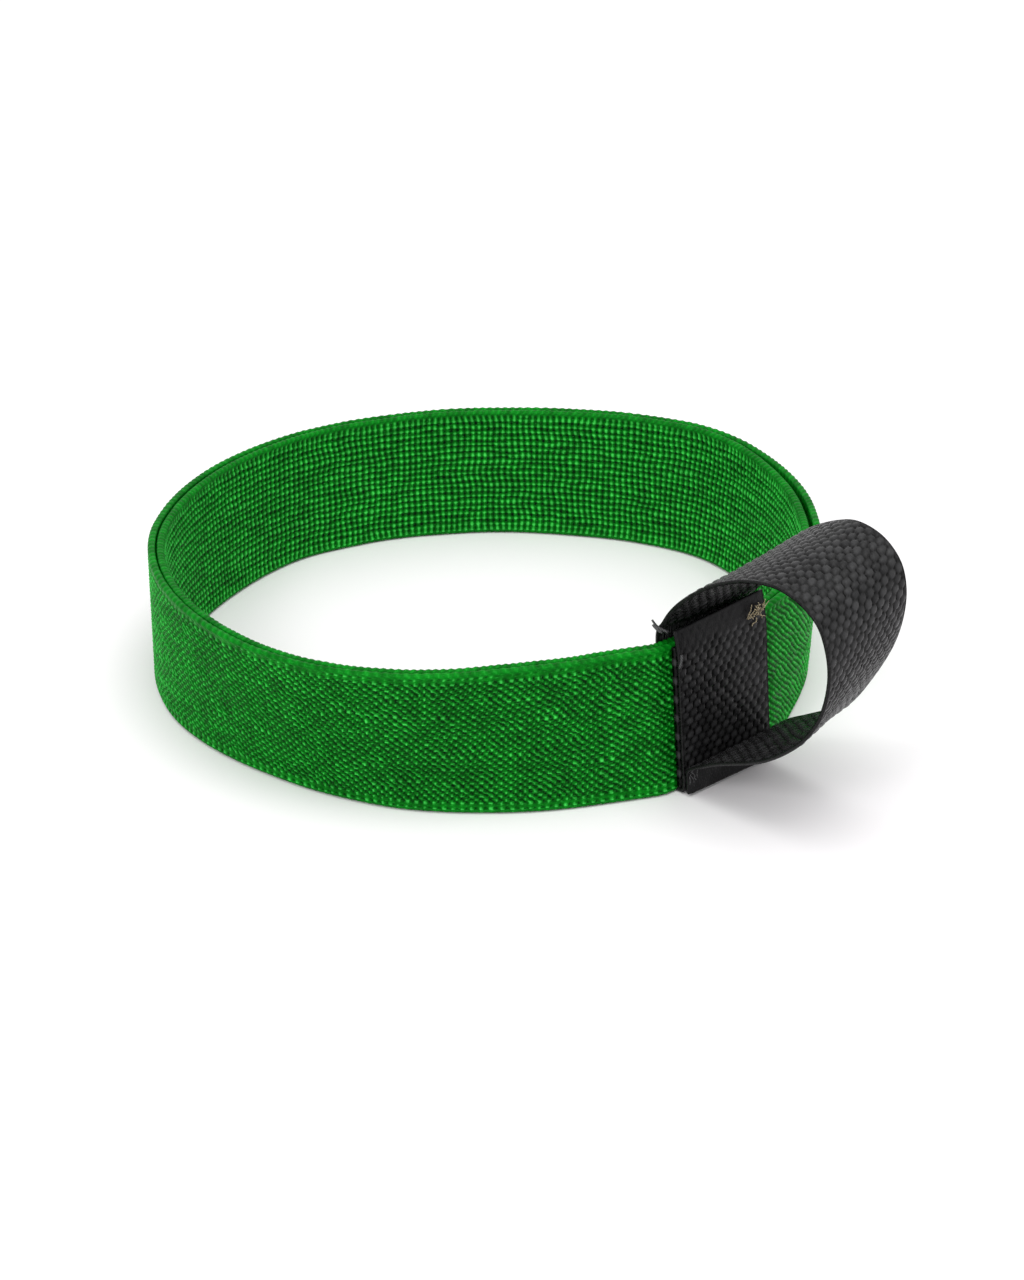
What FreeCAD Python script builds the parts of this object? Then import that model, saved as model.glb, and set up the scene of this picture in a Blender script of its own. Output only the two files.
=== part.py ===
import FreeCAD, Part
import math
import os
import Sketcher

# Resistance band: a doubled ring of woven elastic with a webbing pull loop.
# Millimetres, +Z up. The ring stands on its lower edge at Z 0, its centre is on the Z axis, and the
# webbing join faces +X.

doc = FreeCAD.newDocument("resistance_band")

# ---------------------------------------------------------------------------------------------------
# Driving dimensions
# ---------------------------------------------------------------------------------------------------
SIZES = (
    # the elastic ring
    ("BandWidth", 38.0),        # height of the standing band
    ("RingRadius", 87.0),       # centre to the outer face, on average
    ("OvalStretch", 2.2),       # how much longer and shorter the oval's two half axes are
    ("OvalTurn", 48.0),         # degrees from +X to the long axis
    ("PlyThickness", 2.05),     # one layer of woven elastic
    ("PlyGapEnds", 3.0),        # space between the layers at the long ends
    ("PlyGapSides", 0.4),       # space between the layers at the short ends
    ("InnerPlyShift", 1.4),     # how far the inner layer sits towards one long end
    ("SplitGap", 0.3),          # space between the near and far halves of the ring
    # the rubber strands inside each layer
    ("StrandPitch", 1.6),
    ("StrandHeight", 0.9),
    ("StrandThickness", 0.8),
    ("StrandMargin", 2.0),      # band edge to the first strand
    # the webbing
    ("StrapWidth", 30.0),
    ("StrapThickness", 1.3),
    ("FoldRadius", 1.0),        # centre line of the folds under the band
    ("LayerClearance", 0.15),   # space between sewn layers
    ("JoinMargin", 1.0),        # elastic that shows flat beside the strap
    ("UnderlayInset", 0.4),     # top of the underlay below the band's top edge
    ("PatchRise", 4.0),         # cut end of the patch above the band's top edge
    # the pull loop, followed from the inside of the ring over the top and back to the outside
    ("RiseOverBand", 4.0),      # where the strap starts to bend outwards, above the band's top edge
    ("LiftRadius", 8.0),
    ("LiftAngle", 34.5),        # climb of the upper leg above the horizontal
    ("LiftRun", 27.0),
    ("CrownRadius", 16.0),
    ("FrontAngle", 63.0),       # slope of the front run below the horizontal
    ("FrontRun", 6.0),
    ("ReturnRadius", 30.0),     # bend from the front run into the lower leg
    ("TailRadius", 2.5),
    ("TailTop", 8.0),           # where the lower leg turns down into its sewn tail
    ("TailInset", 0.6),         # cut end of the tail above the floor
    # the tilt of the loop
    ("TiltHeight", 24.0),       # height of the tilt axis on the patch
    ("TiltCutRadius", 30.0),    # the loop starts to move at this distance from the axis
    ("TiltCutGap", 0.6),
    # sewing
    ("ThreadRadius", 0.22),
    ("TackHeight", 4.6),        # height of the upper bar tack
    ("TackDrop", 1.6),          # band's top edge to the upper bar tack
    ("TackPitch", 0.8),
    ("TackMargin", 1.4),        # strap edge to the first stitch of a tack
    ("TailTackHeight", 2.6),
    ("TailTackLift", 1.2),      # tail end to the lower bar tack
    ("SeamMargin", 2.0),        # strap edge to a side seam
    ("SeamPitch", 2.9),
    ("StitchLength", 2.1),
    ("TackSlant", 0.3),         # how far a tack stitch leans, as a share of its pitch
    ("YarnRadius", 0.5),        # a cut yarn end
    ("YarnTaper", 0.7),         # its tip's radius as a share of its root's
    ("YarnLength", 4.2),
)

sheet = doc.addObject("Spreadsheet::Sheet", "sizes")
for row, (alias, value) in enumerate(SIZES, start=1):
    sheet.set(f"A{row}", alias)
    sheet.set(f"B{row}", str(value))
    sheet.setAlias(f"B{row}", alias)
doc.recompute()


def size(alias):
    """One driving dimension, as a number."""
    return float(sheet.get(alias))


def cell(alias):
    """One driving dimension, as an expression."""
    return f"sizes.{alias}"


NODES = []


def bind(obj, prop, expression):
    """Binds a property to an expression, with every alias written as a bare word."""
    text = expression
    for alias in sorted((name for name, _ in SIZES), key=len, reverse=True):
        text = text.replace(alias, f"<<{alias}>>")
    for alias, _ in SIZES:
        text = text.replace(f"<<{alias}>>", cell(alias))
    obj.setExpression(prop, text)


def node(obj, label):
    """Names a finished sub-part and lists it for export."""
    obj.Label = label
    NODES.append(obj)
    return obj


# Places that several pieces share, as expressions of the driving dimensions.
STACK_Y = "(StrapWidth / 2 + JoinMargin)"
OVAL_LONG = "(RingRadius + OvalStretch)"
OVAL_SHORT = "(RingRadius - OvalStretch)"
LONG_SHARE = f"cos(OvalTurn * 1 deg)^2 / {OVAL_LONG}^2"
SHORT_SHARE = f"sin(OvalTurn * 1 deg)^2 / {OVAL_SHORT}^2"
AXIS_REACH = f"(1 / sqrt({LONG_SHARE} + {SHORT_SHARE}))"
OUTER_FACE = f"({AXIS_REACH} - {STACK_Y}^2 / (2 * {AXIS_REACH}))"
UNDERLAY_FACE = f"({OUTER_FACE} + LayerClearance + StrapThickness)"
PATCH_FACE = f"({UNDERLAY_FACE} + LayerClearance + StrapThickness)"
INNER_FACE = f"({OUTER_FACE} - 2 * PlyThickness - LayerClearance)"
STRAP_INSIDE = f"({INNER_FACE} - LayerClearance)"
JOIN_FLOOR = "(StrapThickness + LayerClearance)"
PATCH_TOP = "(BandWidth + PatchRise)"
RISE_HEIGHT = "(BandWidth + RiseOverBand)"


# The same places as numbers, for the first guess of the strap's path and for the sewing.
def axis_reach():
    """Distance from the centre to the outer layer's outer face along +X."""
    turn = math.radians(size("OvalTurn"))
    along = math.cos(turn) / (size("RingRadius") + size("OvalStretch"))
    across = math.sin(turn) / (size("RingRadius") - size("OvalStretch"))
    return 1 / math.hypot(along, across)


stack_y = size("StrapWidth") / 2 + size("JoinMargin")
outer_face = axis_reach() - stack_y**2 / (2 * axis_reach())
patch_face = outer_face + 2 * (size("LayerClearance") + size("StrapThickness"))
inner_face = outer_face - 2 * size("PlyThickness") - size("LayerClearance")
strap_inside = inner_face - size("LayerClearance")
patch_top = size("BandWidth") + size("PatchRise")


# ---------------------------------------------------------------------------------------------------
# Elastic ring
# ---------------------------------------------------------------------------------------------------
def oval_prism(name, inset_long, inset_short, shift="0 mm"):
    """A solid oval prism as tall as the band, smaller than the outer oval by the two insets."""
    curve = doc.addObject("Part::Ellipse", f"{name}_curve")
    bind(curve, "MajorRadius", f"({OVAL_LONG} - ({inset_long})) * 1 mm")
    bind(curve, "MinorRadius", f"({OVAL_SHORT} - ({inset_short})) * 1 mm")
    bind(curve, "Placement.Rotation.Angle", "OvalTurn * 1 deg")
    bind(curve, "Placement.Base.x", f"({shift}) * cos(OvalTurn * 1 deg)")
    bind(curve, "Placement.Base.y", f"({shift}) * sin(OvalTurn * 1 deg)")
    prism = doc.addObject("Part::Extrusion", f"{name}_prism")
    prism.Base = curve
    prism.DirMode = "Custom"
    prism.Dir = FreeCAD.Vector(0, 0, 1)
    prism.Solid = True
    bind(prism, "LengthFwd", "BandWidth * 1 mm")
    return prism


def oval_tube(name, outer_insets, inner_insets, shift="0 mm"):
    """The wall between two oval prisms."""
    tube = doc.addObject("Part::Cut", f"{name}_tube")
    tube.Base = oval_prism(f"{name}_outside", *outer_insets, shift)
    tube.Tool = oval_prism(f"{name}_inside", *inner_insets, shift)
    return tube


def box(name, low, high):
    """A box between two corners, each given as three expressions in millimetres."""
    made = doc.addObject("Part::Box", name)
    for axis, prop, start, end in zip("xyz", ("Length", "Width", "Height"), low, high):
        bind(made, f"Placement.Base.{axis}", f"({start}) * 1 mm")
        bind(made, prop, f"(({end}) - ({start})) * 1 mm")
    return made


def both(name, first, second):
    """What two shapes share."""
    common = doc.addObject("Part::Common", name)
    common.Base = first
    common.Tool = second
    return common


def less(name, base, tool):
    """A shape with another taken away."""
    cut = doc.addObject("Part::Cut", name)
    cut.Base = base
    cut.Tool = tool
    return cut


# Every strand lies in a thin level slab, so the strands of all layers share one set of slabs.
FAR = "(2 * RingRadius)"
strand_span = size("BandWidth") - 2 * size("StrandMargin") - size("StrandHeight")
strand_count = int(strand_span / size("StrandPitch") + 1e-6) + 1
slabs = []
for level in range(strand_count):
    base = (
        f"((BandWidth - StrandHeight - {strand_count - 1} * StrandPitch) / 2 + {level} * StrandPitch)"
    )
    top = f"{base} + StrandHeight"
    slabs.append(box(f"strand_slab_{level}", (f"-{FAR}", f"-{FAR}", base), (FAR, FAR, top)))
strand_levels = doc.addObject("Part::Compound", "strand_levels")
strand_levels.Links = slabs

HALF_WALL = "((PlyThickness - StrandThickness) / 2)"
INNER_LONG = "(PlyThickness + PlyGapEnds)"
INNER_SHORT = "(PlyThickness + PlyGapSides)"
PLIES = {
    "outer_ply": ("0", "0", "0 mm"),
    "inner_ply": (INNER_LONG, INNER_SHORT, "InnerPlyShift * 1 mm"),
}
JOIN_FACES = {
    "outer_ply": OUTER_FACE,
    "inner_ply": f"({OUTER_FACE} - PlyThickness - LayerClearance)",
}
SECTORS = {
    "far": (
        (f"-{FAR}", f"-{FAR}", "-BandWidth"),
        ("-SplitGap / 2", FAR, "2 * BandWidth"),
    ),
    "left": (
        ("SplitGap / 2", f"-{FAR}", "-BandWidth"),
        (FAR, f"-{STACK_Y} - LayerClearance", "2 * BandWidth"),
    ),
    "right": (
        ("SplitGap / 2", f"{STACK_Y} + LayerClearance", "-BandWidth"),
        (FAR, FAR, "2 * BandWidth"),
    ),
}


def dress_with_strands(name, cover, core):
    """Splits a block of elastic into its woven cover and the rubber strands that fill its channels."""
    strands = both(f"{name}_rubber", core, strand_levels)
    node(strands, name.replace("ply", "strands"))
    node(less(f"{name}_cover", cover, strands), name)


for ply, (long_inset, short_inset, shift) in PLIES.items():
    cover_tube = oval_tube(
        ply,
        (long_inset, short_inset),
        (f"{long_inset} + PlyThickness", f"{short_inset} + PlyThickness"),
        shift,
    )
    core_tube = oval_tube(
        f"{ply}_core",
        (f"{long_inset} + {HALF_WALL}", f"{short_inset} + {HALF_WALL}"),
        (f"{long_inset} + {HALF_WALL} + StrandThickness", f"{short_inset} + {HALF_WALL} + StrandThickness"),
        shift,
    )
    for sector, (low, high) in SECTORS.items():
        region = box(f"{ply}_{sector}_region", low, high)
        dress_with_strands(
            f"{ply}_{sector}",
            both(f"{ply}_{sector}_block", cover_tube, region),
            both(f"{ply}_{sector}_core", core_tube, region),
        )
    face = JOIN_FACES[ply]
    cover_block = box(
        f"{ply}_join_block",
        (f"{face} - PlyThickness", f"-{STACK_Y}", JOIN_FLOOR),
        (face, STACK_Y, "BandWidth"),
    )
    core_block = box(
        f"{ply}_join_core",
        (f"{face} - {HALF_WALL} - StrandThickness", f"-{STACK_Y}", JOIN_FLOOR),
        (f"{face} - {HALF_WALL}", STACK_Y, "BandWidth"),
    )
    dress_with_strands(f"{ply}_join", cover_block, core_block)


# ---------------------------------------------------------------------------------------------------
# Webbing
# ---------------------------------------------------------------------------------------------------
def plane_of(body, role):
    """One of a body's own origin planes."""
    return next(feature for feature in body.Origin.OriginFeatures if feature.Role == role)


def rectangle(sketch, low, high, names):
    """Draws a rectangle between two corners and binds its four sides to expressions."""
    (left, bottom), (right, top) = low, high
    corners = [(left, bottom), (right, bottom), (right, top), (left, top)]
    points = [FreeCAD.Vector(u, v, 0) for u, v in corners]
    for index in range(4):
        sketch.addGeometry(Part.LineSegment(points[index], points[(index + 1) % 4]), False)
    for index in range(4):
        sketch.addConstraint(Sketcher.Constraint("Coincident", index, 2, (index + 1) % 4, 1))
    for index in (0, 2):
        sketch.addConstraint(Sketcher.Constraint("Horizontal", index))
    for index in (1, 3):
        sketch.addConstraint(Sketcher.Constraint("Vertical", index))
    for kind, point, value, expression in (
        ("DistanceX", (0, 1), left, names[0]),
        ("DistanceY", (0, 1), bottom, names[1]),
        ("DistanceX", (2, 1), right, names[2]),
        ("DistanceY", (2, 1), top, names[3]),
    ):
        number = sketch.addConstraint(Sketcher.Constraint(kind, -1, 1, *point, value))
        bind(sketch, f"Constraints[{number}]", f"({expression}) * 1 mm")


def sketch_on(body, name, role, lift=None):
    """A sketch on one of the body's origin planes, raised by an expression where one is given."""
    sketch = body.newObject("Sketcher::SketchObject", name)
    sketch.AttachmentSupport = [(plane_of(body, role), "")]
    sketch.MapMode = "FlatFace"
    if lift:
        bind(sketch, "AttachmentOffset.Base.z", f"({lift}) * 1 mm")
    return sketch


# The short piece of webbing sewn flat on the elastic, under the strap.
underlay = doc.addObject("PartDesign::Body", "underlay")
underlay_face = outer_face + size("LayerClearance") + size("StrapThickness")
underlay_outline = sketch_on(underlay, "underlay_outline", "XY_Plane", JOIN_FLOOR)
rectangle(
    underlay_outline,
    (underlay_face - size("StrapThickness"), -size("StrapWidth") / 2),
    (underlay_face, size("StrapWidth") / 2),
    (f"{UNDERLAY_FACE} - StrapThickness", "-StrapWidth / 2", UNDERLAY_FACE, "StrapWidth / 2"),
)
underlay_pad = underlay.newObject("PartDesign::Pad", "underlay_pad")
underlay_pad.Profile = underlay_outline
bind(underlay_pad, "Length", f"(BandWidth - UnderlayInset - {JOIN_FLOOR}) * 1 mm")
node(underlay, "join_underlay")

patch_x = patch_face - size("StrapThickness") / 2
inside_x = strap_inside - size("StrapThickness") / 2
tail_x = patch_face + size("LayerClearance") + size("StrapThickness") / 2


def strap_path():
    """The strap's centre line as runs and bends, from the patch's top end to the tail's cut end.

    A run is ("run", heading, length) and a bend ("bend", radius, turn), in degrees, with turns counted
    positive to the left. The lower leg is the straight line that touches the bend before it and the
    bend into the tail.
    """
    half = size("StrapThickness") / 2
    fold = size("FoldRadius")
    lift = size("LiftAngle")
    front_heading = size("FrontAngle") - 180
    steps = [
        ("run", -90.0, patch_top - half - fold),
        ("bend", fold, -90.0),
        ("run", -180.0, patch_x - inside_x - 2 * fold),
        ("bend", fold, -90.0),
        ("run", 90.0, size("BandWidth") + size("RiseOverBand") - half - fold),
        ("bend", size("LiftRadius"), lift - 90),
        ("run", lift, size("LiftRun")),
        ("bend", size("CrownRadius"), front_heading - lift),
        ("run", front_heading, size("FrontRun")),
    ]
    x, z = walk(steps)[-1][1]
    heading = math.radians(front_heading)
    radius = size("ReturnRadius")
    to_tail = FreeCAD.Vector(
        tail_x + size("TailRadius") - x - radius * math.sin(heading),
        size("TailTop") - z + radius * math.cos(heading),
        0,
    )
    reach = radius + size("TailRadius")
    way = math.atan2(to_tail.y, to_tail.x) - math.asin(reach / to_tail.Length)
    return_heading = math.degrees(way)
    return steps + [
        ("bend", radius, return_heading - front_heading),
        ("run", return_heading, math.sqrt(to_tail.Length**2 - reach**2)),
        ("bend", size("TailRadius"), -90 - return_heading),
        ("run", -90.0, size("TailTop") - size("TailInset")),
    ]


def walk(steps):
    """The start, the end and the centre of each step of a path that starts at the patch's top end."""
    x, z, heading = patch_x, patch_top, -90.0
    legs = []
    for kind, first, second in steps:
        if kind == "run":
            turn = math.radians(heading)
            end = (x + second * math.cos(turn), z + second * math.sin(turn))
            legs.append(((x, z), end, None))
        else:
            side = math.copysign(1.0, second)
            turn = math.radians(heading)
            centre = (x - side * first * math.sin(turn), z + side * first * math.cos(turn))
            heading += second
            turn = math.radians(heading)
            end = (centre[0] + side * first * math.sin(turn), centre[1] - side * first * math.cos(turn))
            legs.append(((x, z), end, centre))
        x, z = end
    return legs


def draw_path(sketch):
    """Draws the strap's centre line and binds its lengths, radii and slopes."""
    steps = strap_path()
    for (kind, first, second), (start, end, centre) in zip(steps, walk(steps)):
        if kind == "run":
            line = Part.LineSegment(FreeCAD.Vector(*start, 0), FreeCAD.Vector(*end, 0))
            sketch.addGeometry(line, False)
            continue
        circle = Part.Circle(FreeCAD.Vector(*centre, 0), FreeCAD.Vector(0, 0, 1), first)
        a = math.atan2(start[1] - centre[1], start[0] - centre[0])
        b = math.atan2(end[1] - centre[1], end[0] - centre[0])
        low, high = (a, b) if second > 0 else (b, a)
        sketch.addGeometry(Part.ArcOfCircle(circle, low, high), False)
    for index in range(len(steps) - 1):
        ends = []
        for number, forward in ((index, True), (index + 1, False)):
            left_turn = steps[number][0] == "run" or steps[number][2] > 0
            ends += [number, 2 if forward == left_turn else 1]
        sketch.addConstraint(Sketcher.Constraint("Tangent", *ends))
    bends = {
        1: "FoldRadius",
        3: "FoldRadius",
        5: "LiftRadius",
        7: "CrownRadius",
        9: "ReturnRadius",
        11: "TailRadius",
    }
    for index, alias in bends.items():
        number = sketch.addConstraint(Sketcher.Constraint("Radius", index, steps[index][1]))
        bind(sketch, f"Constraints[{number}]", f"{alias} * 1 mm")
    half = "StrapThickness / 2"
    places = (
        ("DistanceX", 0, 1, patch_x, f"{PATCH_FACE} - {half}"),
        ("DistanceY", 0, 1, patch_top, PATCH_TOP),
        ("DistanceY", 2, 1, size("StrapThickness") / 2, half),
        ("DistanceX", 4, 2, inside_x, f"{STRAP_INSIDE} - {half}"),
        ("DistanceY", 4, 2, size("BandWidth") + size("RiseOverBand"), RISE_HEIGHT),
        ("DistanceX", 12, 2, tail_x, f"{PATCH_FACE} + LayerClearance + {half}"),
        ("DistanceY", 12, 1, size("TailTop"), "TailTop"),
        ("DistanceY", 12, 2, size("TailInset"), "TailInset"),
    )
    for kind, index, end, value, expression in places:
        number = sketch.addConstraint(Sketcher.Constraint(kind, -1, 1, index, end, value))
        bind(sketch, f"Constraints[{number}]", f"({expression}) * 1 mm")
    for index in (0, 4, 12):
        sketch.addConstraint(Sketcher.Constraint("Vertical", index))
    sketch.addConstraint(Sketcher.Constraint("Horizontal", 2))
    for index, slope in ((6, "LiftAngle"), (8, "FrontAngle - 180")):
        heading = steps[index][1]
        number = sketch.addConstraint(Sketcher.Constraint("Angle", index, math.radians(heading)))
        bind(sketch, f"Constraints[{number}]", f"({slope}) * 1 deg")
    for index, alias in ((6, "LiftRun"), (8, "FrontRun")):
        number = sketch.addConstraint(Sketcher.Constraint("Distance", index, size(alias)))
        bind(sketch, f"Constraints[{number}]", f"{alias} * 1 mm")


strap = doc.addObject("PartDesign::Body", "strap")
strap_line = sketch_on(strap, "strap_line", "XZ_Plane")
draw_path(strap_line)
strap_section = sketch_on(strap, "strap_section", "XY_Plane", PATCH_TOP)
rectangle(
    strap_section,
    (patch_face - size("StrapThickness"), -size("StrapWidth") / 2),
    (patch_face, size("StrapWidth") / 2),
    (f"{PATCH_FACE} - StrapThickness", "-StrapWidth / 2", PATCH_FACE, "StrapWidth / 2"),
)
doc.recompute()
strap_pipe = strap.newObject("PartDesign::AdditivePipe", "strap_pipe")
strap_pipe.Profile = strap_section
strap_pipe.Spine = strap_line
doc.recompute()


# The strap is one length of webbing. It is parted where the loop starts to move: a round cut about the
# tilt axis leaves room for the loop's ends at every tilt.
def tilt_drum(name, radius):
    """A drum about the tilt axis, wider than the strap."""
    drum = doc.addObject("Part::Cylinder", name)
    bind(drum, "Radius", f"({radius}) * 1 mm")
    bind(drum, "Height", "2 * StrapWidth * 1 mm")
    drum.Placement.Rotation = FreeCAD.Rotation(FreeCAD.Vector(1, 0, 0), 90)
    bind(drum, "Placement.Base.x", f"{PATCH_FACE} * 1 mm")
    bind(drum, "Placement.Base.y", "StrapWidth * 1 mm")
    bind(drum, "Placement.Base.z", "TiltHeight * 1 mm")
    return drum


sewn_drum = tilt_drum("sewn_drum", "TiltCutRadius - TiltCutGap / 2")
loop_drum = tilt_drum("loop_drum", "TiltCutRadius + TiltCutGap / 2")
sewn_strap = both("sewn_strap", strap, sewn_drum)
tail_region = box(
    "tail_region",
    (f"{PATCH_FACE} + LayerClearance / 2", "-StrapWidth", "-StrapWidth"),
    (f"{PATCH_FACE} + TiltCutRadius", "StrapWidth", "TiltHeight + StrapThickness + TiltCutRadius / 2"),
)
node(less("strap_wrap", sewn_strap, tail_region), "strap_wrap")
node(both("strap_tail", sewn_strap, tail_region), "strap_tail")
node(less("strap_loop", strap, loop_drum), "strap_loop")


# ---------------------------------------------------------------------------------------------------
# Sewing
# ---------------------------------------------------------------------------------------------------
def thread(start, end, radius):
    """One straight stitch with round ends, as a solid."""
    way = end - start
    stitch = Part.makeCylinder(radius, way.Length, start, way)
    for point in (start, end):
        stitch = stitch.fuse(Part.makeSphere(radius, point))
    return stitch.removeSplitter()


def sewn(label, stitches):
    """A node made of separate stitches."""
    feature = doc.addObject("Part::Feature", label)
    feature.Shape = Part.makeCompound(stitches)
    feature.Placement = FreeCAD.Placement()
    return node(feature, label)


def bar_tack(label, face_x, low_z, high_z):
    """A row of close stitches across the strap, each leaning over towards the foot of the next."""
    reach = size("StrapWidth") / 2 - size("TackMargin")
    count = int(2 * reach / size("TackPitch"))
    step = 2 * reach / count
    lean = step * size("TackSlant")
    stitches = []
    for index in range(count):
        y = -reach + index * step
        foot = FreeCAD.Vector(face_x, y + lean / 2, low_z)
        head = FreeCAD.Vector(face_x, y + lean * 3 / 2, high_z)
        stitches.append(thread(foot, head, size("ThreadRadius")))
    return sewn(label, stitches)


tack_high = size("BandWidth") - size("TackDrop")
tack_low = tack_high - size("TackHeight")
inside_face = strap_inside - size("StrapThickness")
tail_face = patch_face + size("LayerClearance") + size("StrapThickness")
tail_low = size("TailInset") + size("TailTackLift")
tail_high = tail_low + size("TailTackHeight")
bar_tack("upper_bar_tack", patch_face, tack_low, tack_high)
bar_tack("upper_bar_tack_inside", inside_face, tack_low, tack_high)
bar_tack("lower_bar_tack", tail_face, tail_low, tail_high)
bar_tack("lower_bar_tack_inside", inside_face, tail_low, tail_high)


def side_seam(label, face_x, side, low_z, high_z):
    """A line of running stitches up one edge of the patch."""
    y = side * (size("StrapWidth") / 2 - size("SeamMargin"))
    count = int((high_z - low_z - size("StitchLength")) / size("SeamPitch")) + 1
    stitches = []
    for index in range(count):
        foot = FreeCAD.Vector(face_x, y, low_z + index * size("SeamPitch"))
        head = foot + FreeCAD.Vector(0, 0, size("StitchLength"))
        stitches.append(thread(foot, head, size("ThreadRadius")))
    return sewn(label, stitches)


seam_low = size("TailTop") + size("TailRadius") + size("StrapThickness")
seam_high = tack_low - size("SeamPitch") / 2
for label, side in (("side_seam_left", -1), ("side_seam_right", 1)):
    side_seam(label, patch_face, side, seam_low, seam_high)
    side_seam(f"{label}_inside", inside_face, side, seam_low, seam_high)


# Cut yarn ends that stand out of the sewn corners.
def yarn_ends(label, roots):
    """Short cut yarns in one node, each with its root, its direction and its share of the full length."""
    yarns = []
    for root, direction, share in roots:
        way = FreeCAD.Vector(*direction).normalize() * (size("YarnLength") * share)
        start = FreeCAD.Vector(*root)
        root_radius = size("YarnRadius")
        tip_radius = root_radius * size("YarnTaper")
        yarns.append(Part.makeCone(root_radius, tip_radius, way.Length, start, way))
    return sewn(label, yarns)


near_edge = -size("StrapWidth") / 2 - size("YarnRadius") - size("LayerClearance")
far_edge = size("StrapWidth") / 2
yarn_ends(
    "yarn_ends_upper",
    (
        ((inside_x, near_edge, size("BandWidth")), (-0.55, -0.2, 1.0), 1.0),
        ((patch_x, near_edge, tack_low), (0.1, -0.15, -1.0), 0.7),
    ),
)
fray_x = patch_face + size("ThreadRadius") + size("YarnRadius")
yarn_ends(
    "yarn_ends_far",
    tuple(
        (
            (fray_x, far_edge - size("TackMargin") * (1.1 + index), patch_top - size("TackMargin")),
            (0.35, 0.3 * (-1) ** index, 1.0),
            0.55 + 0.12 * index,
        )
        for index in range(4)
    ),
)
yarn_ends(
    "yarn_ends_lower",
    (
        ((patch_x, near_edge, size("TailTop")), (0.5, -0.35, 1.0), 0.6),
        ((tail_x, near_edge, size("TailTop") - size("TailInset")), (0.35, -0.3, -0.6), 0.8),
    ),
)

# ---------------------------------------------------------------------------------------------------
# Checks and export
# ---------------------------------------------------------------------------------------------------
doc.recompute()
for obj in doc.Objects:
    if "Invalid" in obj.State or "Error" in obj.State:
        raise RuntimeError(f"{obj.Name} failed: {obj.State}")
labels = [obj.Label for obj in NODES]
if len(set(labels)) != len(labels):
    raise RuntimeError("two sub-parts share a label")
for obj in NODES:
    if obj.Shape.isNull() or not obj.Shape.isValid() or not obj.Shape.Solids:
        raise RuntimeError(f"{obj.Label} has no valid solid")
os.makedirs("parts", exist_ok=True)
for obj in NODES:
    obj.Shape.exportStep(f"parts/{obj.Label}.step")
    print(f"{obj.Label}: {len(obj.Shape.Solids)} solids, {obj.Shape.Volume:.0f} mm3, {obj.Shape.BoundBox}")
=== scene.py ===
import logging
import math
from dataclasses import dataclass
from enum import Enum

import bpy
import numpy as np
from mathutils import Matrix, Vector


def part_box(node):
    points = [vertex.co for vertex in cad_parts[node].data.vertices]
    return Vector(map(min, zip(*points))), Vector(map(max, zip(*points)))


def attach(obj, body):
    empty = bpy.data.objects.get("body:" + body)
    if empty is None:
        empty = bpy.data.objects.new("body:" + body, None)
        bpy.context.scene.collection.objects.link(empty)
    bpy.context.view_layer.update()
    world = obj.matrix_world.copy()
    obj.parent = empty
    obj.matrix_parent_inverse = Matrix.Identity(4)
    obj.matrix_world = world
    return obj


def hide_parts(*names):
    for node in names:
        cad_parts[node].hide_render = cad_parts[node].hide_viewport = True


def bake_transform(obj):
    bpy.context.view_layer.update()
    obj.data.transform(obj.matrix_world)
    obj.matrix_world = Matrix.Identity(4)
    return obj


MM = 0.001
HALF_TURN = math.pi
FULL_TURN = 2 * math.pi
WELD = 1e-6
WEAVE_UV = "Weave"
# Point height of the weave, which the yarn finish also turns into painted shade in the grooves and a painted
# highlight on the crowns.
CROWN = "crown"
TONE = "tone"
PLAIN = "plain"

Array = np.ndarray
Piece = bpy.types.Object
Socket = bpy.types.NodeSocket
Tree = bpy.types.NodeTree
Triple = tuple[float, float, float]

log = logging.getLogger("resistance_band")
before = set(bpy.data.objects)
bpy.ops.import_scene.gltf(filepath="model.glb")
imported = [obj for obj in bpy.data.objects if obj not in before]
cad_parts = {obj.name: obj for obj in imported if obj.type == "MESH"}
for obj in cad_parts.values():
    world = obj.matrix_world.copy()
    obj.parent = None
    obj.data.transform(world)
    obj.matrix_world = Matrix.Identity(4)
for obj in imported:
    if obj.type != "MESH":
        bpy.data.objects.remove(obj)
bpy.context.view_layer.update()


# Mesh helpers
def deselect() -> None:
    """Leaves object mode with nothing selected."""
    if bpy.context.object and bpy.context.object.mode != "OBJECT":
        bpy.ops.object.mode_set(mode="OBJECT")
    bpy.ops.object.select_all(action="DESELECT")


def make_active(piece: Piece) -> None:
    """Selects one piece alone and makes it active."""
    deselect()
    piece.select_set(True)
    bpy.context.view_layer.objects.active = piece


def clean(piece: Piece, cap_ends: bool = False) -> Piece:
    """Merges meeting points, closes open ends where asked, faces all outwards and shades smooth.

    Args:
        piece: the piece.
        cap_ends: whether open ends are closed with a face.

    Returns:
        The same piece.
    """
    make_active(piece)
    bpy.ops.object.mode_set(mode="EDIT")
    bpy.ops.mesh.select_all(action="SELECT")
    bpy.ops.mesh.remove_doubles(threshold=WELD)
    if cap_ends:
        bpy.ops.mesh.select_all(action="DESELECT")
        bpy.ops.mesh.select_mode(type="EDGE")
        bpy.ops.mesh.select_non_manifold()
        bpy.ops.mesh.fill_holes(sides=0)
    bpy.ops.mesh.select_all(action="SELECT")
    bpy.ops.mesh.normals_make_consistent(inside=False)
    bpy.ops.object.mode_set(mode="OBJECT")
    bpy.ops.object.shade_smooth()
    return piece


def smooth_step(value: Array) -> Array:
    """Eases values that run from 0 to 1, and holds them at 0 and 1 beyond."""
    held = np.clip(value, 0.0, 1.0)
    return held * held * (3.0 - 2.0 * held)


def wave(turns: Array) -> Array:
    """A smooth wave between 0 and 1, highest at whole numbers."""
    return 0.5 + 0.5 * np.cos(FULL_TURN * turns)


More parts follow.
